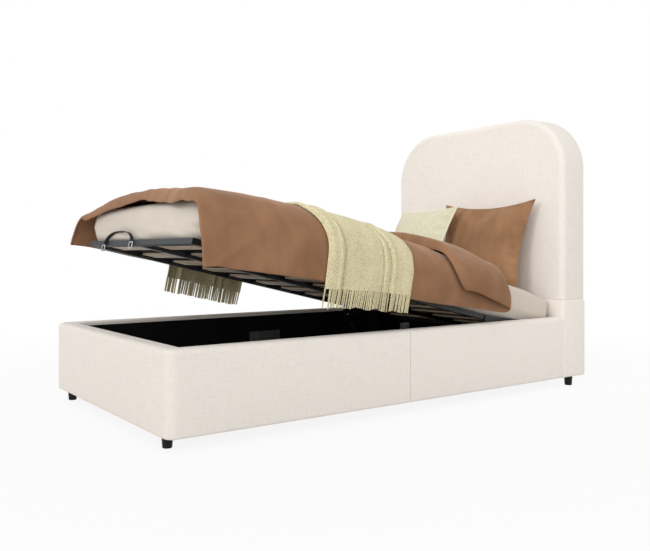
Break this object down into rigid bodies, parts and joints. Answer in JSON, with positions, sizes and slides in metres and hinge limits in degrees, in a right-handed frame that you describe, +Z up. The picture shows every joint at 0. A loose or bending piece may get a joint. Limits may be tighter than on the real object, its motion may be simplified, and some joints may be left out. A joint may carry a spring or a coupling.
{
  "type": "upholstered storage bed",
  "caption": "Cream upholstered storage bed with a round-cornered headboard and a slatted platform that lifts on gas struts over a lined box, dressed with duvet, throw and pillows.",
  "frame": {"origin": "on the floor, midway along the whole length and width of the bed", "axes": "+X across the bed to the side nearer the camera, +Y along the bed towards the headboard, +Z up"},
  "size_m": [1.1962, 2.171, 1.283],
  "materials": {
    "upholstery_cream": "matte linen weave",
    "lining_black": "matte felt",
    "floor_board_black": "matte black faced board",
    "batten_wood": "planed pine",
    "foot_black": "matte",
    "zinc_steel": "zinc plated",
    "black_steel": "powder coat",
    "chrome_rod": "polished",
    "blue_grey_steel": "satin powder coat",
    "black_plastic": "matte moulded",
    "slat_birch": "clear sealed birch ply",
    "webbing_black": "woven webbing",
    "mattress_white": "knitted ticking",
    "duvet_brown": "brushed soft cotton",
    "throw_green": "heathered knit",
    "pillow_brown": "brushed soft cotton",
    "pillow_green": "brushed soft cotton"
  },
  "bodies": {
    "box": {"corner_brackets": "zinc_steel", "corner_foot_front_left": "foot_black", "corner_foot_front_right": "foot_black", "corner_foot_rear_left": "foot_black", "corner_foot_rear_right": "foot_black", "floor_cross_beam": "batten_wood", "floor_ledge_left": "batten_wood", "floor_ledge_right": "batten_wood", "foot_panel": "upholstery_cream", "headboard_back_plates": "zinc_steel", "headboard_base": "upholstery_cream", "headboard_upper": "upholstery_cream", "lift_base_plate_left": "black_steel", "lift_base_plate_right": "black_steel", "lift_pivot_pin_left": "zinc_steel", "lift_pivot_pin_right": "zinc_steel", "lining_foot": "lining_black", "lining_head": "lining_black", "lining_left": "lining_black", "lining_right": "lining_black", "middle_leg": "foot_black", "platform_rests": "zinc_steel", "rail_joint_plates": "zinc_steel", "side_rail_left_foot_half": "upholstery_cream", "side_rail_left_head_half": "upholstery_cream", "side_rail_right_foot_half": "upholstery_cream", "side_rail_right_head_half": "upholstery_cream", "storage_floor_foot_board": "floor_board_black", "storage_floor_head_board": "floor_board_black", "strut_lower_stud_left": "zinc_steel", "strut_lower_stud_right": "zinc_steel"},
    "platform": {"lift_arm_plate_right": "black_steel", "lift_arm_plate_left": "black_steel", "strut_upper_stud_right": "zinc_steel", "strut_upper_stud_left": "zinc_steel", "platform_side_tube_right": "blue_grey_steel", "platform_side_tube_left": "blue_grey_steel", "platform_foot_tube": "blue_grey_steel", "platform_head_tube": "blue_grey_steel", "platform_spine": "blue_grey_steel", "platform_tube_plugs": "black_plastic", "slats_right": "slat_birch", "slats_left": "slat_birch", "slat_holders": "black_plastic", "lift_strap": "webbing_black", "lift_strap_buckles": "zinc_steel", "mattress": "mattress_white", "duvet": "duvet_brown", "throw": "throw_green"},
    "strut_cylinder_right": {"strut_cylinder_right": "black_steel"},
    "strut_cylinder_left": {"strut_cylinder_left": "black_steel"},
    "strut_rod_right": {"strut_rod_right": "chrome_rod"},
    "strut_rod_left": {"strut_rod_left": "chrome_rod"},
    "pillow_brown": {"pillow_brown": "pillow_brown"},
    "pillow_green": {"pillow_green": "pillow_green"}
  },
  "joints": [
    {"name": "platform_lift", "type": "hinge", "parent": "box", "child": "platform", "pos_m": [0, 0.6895, 0.307], "axis": [-1, 0, 0], "range_deg": [-12.8, 27.2]},
    {"name": "strut_cylinder_right_swing", "type": "hinge", "parent": "box", "child": "strut_cylinder_right", "pos_m": [0.476, 0.5923, 0.09855], "axis": [-1, 0, 0], "range_deg": [-6.4, 13.6]},
    {"name": "strut_rod_right_swing", "type": "hinge", "parent": "platform", "child": "strut_rod_right", "pos_m": [0.476, 0.46012, 0.29016], "axis": [-1, 0, 0], "range_deg": [-13.6, 6.4]},
    {"name": "strut_cylinder_left_swing", "type": "hinge", "parent": "box", "child": "strut_cylinder_left", "pos_m": [-0.476, 0.5923, 0.09855], "axis": [-1, 0, 0], "range_deg": [-6.4, 13.6]},
    {"name": "strut_rod_left_swing", "type": "hinge", "parent": "platform", "child": "strut_rod_left", "pos_m": [-0.476, 0.46012, 0.29016], "axis": [-1, 0, 0], "range_deg": [-13.6, 6.4]},
    {"name": "pillow_brown_prop", "type": "hinge", "parent": "platform", "child": "pillow_brown", "pos_m": [0.158, 0.76016, 0.43749], "axis": [-1, 0, 0], "range_deg": [-34, 16]},
    {"name": "pillow_green_prop", "type": "hinge", "parent": "platform", "child": "pillow_green", "pos_m": [-0.145, 0.57489, 0.47958], "axis": [-1, 0, 0], "range_deg": [-35.36, 16.64]}
  ],
  "couplings": [
    {"joint": "strut_cylinder_right_swing", "follows": "platform_lift", "ratio": 0.5},
    {"joint": "strut_rod_right_swing", "follows": "platform_lift", "ratio": -0.5},
    {"joint": "strut_cylinder_left_swing", "follows": "platform_lift", "ratio": 0.5},
    {"joint": "strut_rod_left_swing", "follows": "platform_lift", "ratio": -0.5},
    {"joint": "pillow_brown_prop", "follows": "platform_lift", "ratio": -1.25},
    {"joint": "pillow_green_prop", "follows": "platform_lift", "ratio": -1.3}
  ]
}
